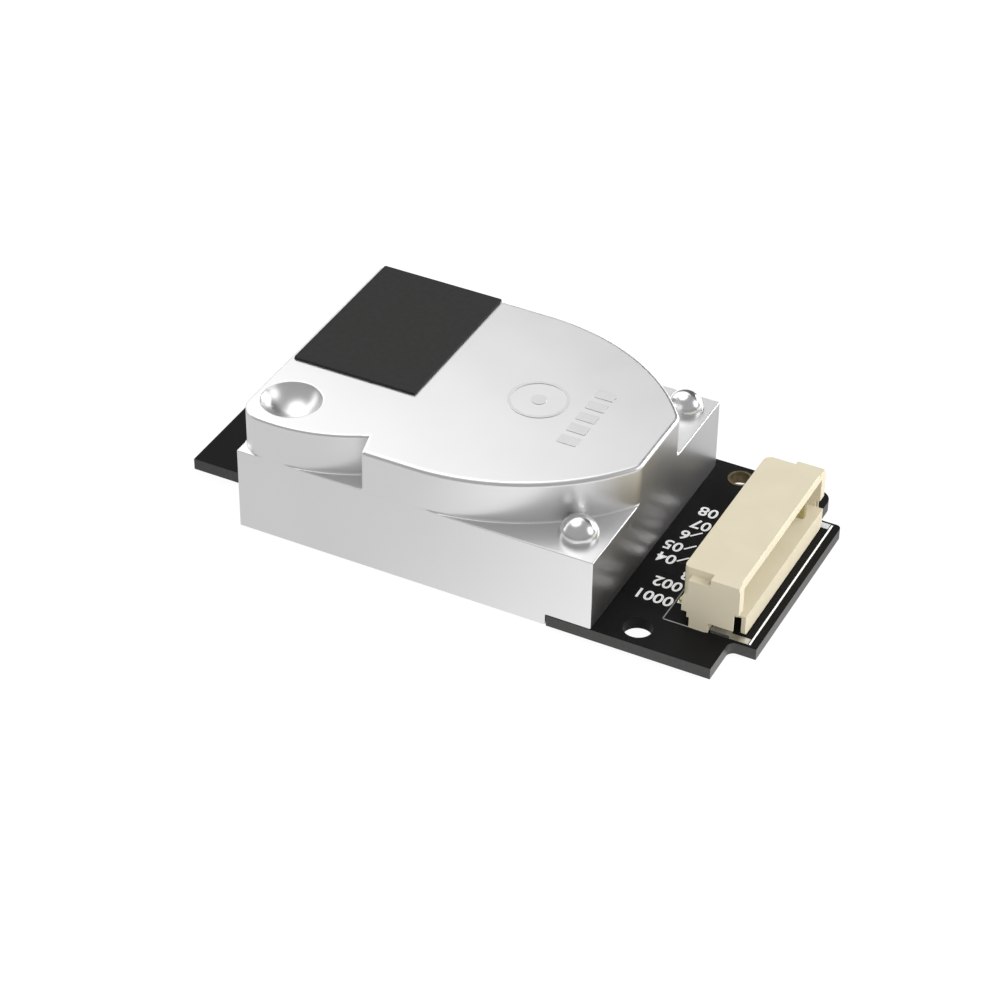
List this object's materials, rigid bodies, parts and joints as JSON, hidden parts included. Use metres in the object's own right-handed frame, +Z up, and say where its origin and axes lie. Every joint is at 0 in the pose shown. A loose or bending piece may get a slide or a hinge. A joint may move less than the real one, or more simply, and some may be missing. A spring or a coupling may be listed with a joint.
{
  "type": "infrared gas sensor module",
  "caption": "Flat optical gas sensor: a bright plated cavity with a black filter sheet on top, riveted to a small black circuit board with a cream side-entry header.",
  "frame": {"origin": "centre of the near mounting hole, on the underside of the board", "axes": "+X towards the header's mouth along the module's length, +Y away from the near mounting hole across the board, +Z up out of the board towards the optical cavity"},
  "size_m": [0.06, 0.0295, 0.0141],
  "materials": {
    "board": "satin solder mask",
    "cavity_cover": "bright plated",
    "reflector_tray": "bright plated",
    "cover_rivets": "polished",
    "membrane": "matte",
    "adhesive": "matte",
    "bulb_glass": "clear",
    "bead": "frosted",
    "filament": "dark wire",
    "tinned_wire": "tinned",
    "spacer_rubber": "matte",
    "detector_steel": "satin",
    "gold_plate": "gold plated",
    "filter_glass": "coated",
    "silicon": "polished",
    "foam": "matte",
    "chip_epoxy": "matte",
    "resistor_body": "glazed",
    "capacitor_body": "sintered",
    "tantalum_body": "matte",
    "crystal_body": "ceramic with metal lid",
    "thermistor_body": "sintered",
    "header_nylon": "moulded",
    "contact_plate": "tin over brass",
    "solder_tin": "solder"
  },
  "bodies": {
    "root": {"board": "board", "cavity_cover": "cavity_cover", "reflector_tray": "reflector_tray", "cover_rivets": "cover_rivets", "membrane": "membrane", "membrane_adhesive": "adhesive", "lamp_bulb": "bulb_glass", "lamp_base": "bead", "lamp_filament": "filament", "lamp_leads": "tinned_wire", "lamp_spacer": "spacer_rubber", "detector_can": "detector_steel", "detector_header": "gold_plate", "detector_windows": "filter_glass", "detector_chips": "silicon", "detector_pins": "gold_plate", "detector_gasket": "foam", "microcontroller": "chip_epoxy", "op_amp": "chip_epoxy", "regulator": "chip_epoxy", "lamp_driver": "chip_epoxy", "chip_leads": "tinned_wire", "chip_resistors": "resistor_body", "chip_capacitors": "capacitor_body", "chip_end_caps": "solder_tin", "tantalum_capacitor": "tantalum_body", "crystal": "crystal_body", "thermistor": "thermistor_body", "header_housing": "header_nylon", "header_contacts": "contact_plate", "header_anchors": "solder_tin", "contact_pads": "solder_tin", "anchor_pads": "solder_tin", "hole_rings": "gold_plate", "solder_joints": "solder_tin", "test_pads": "gold_plate"}
  },
  "joints": []
}
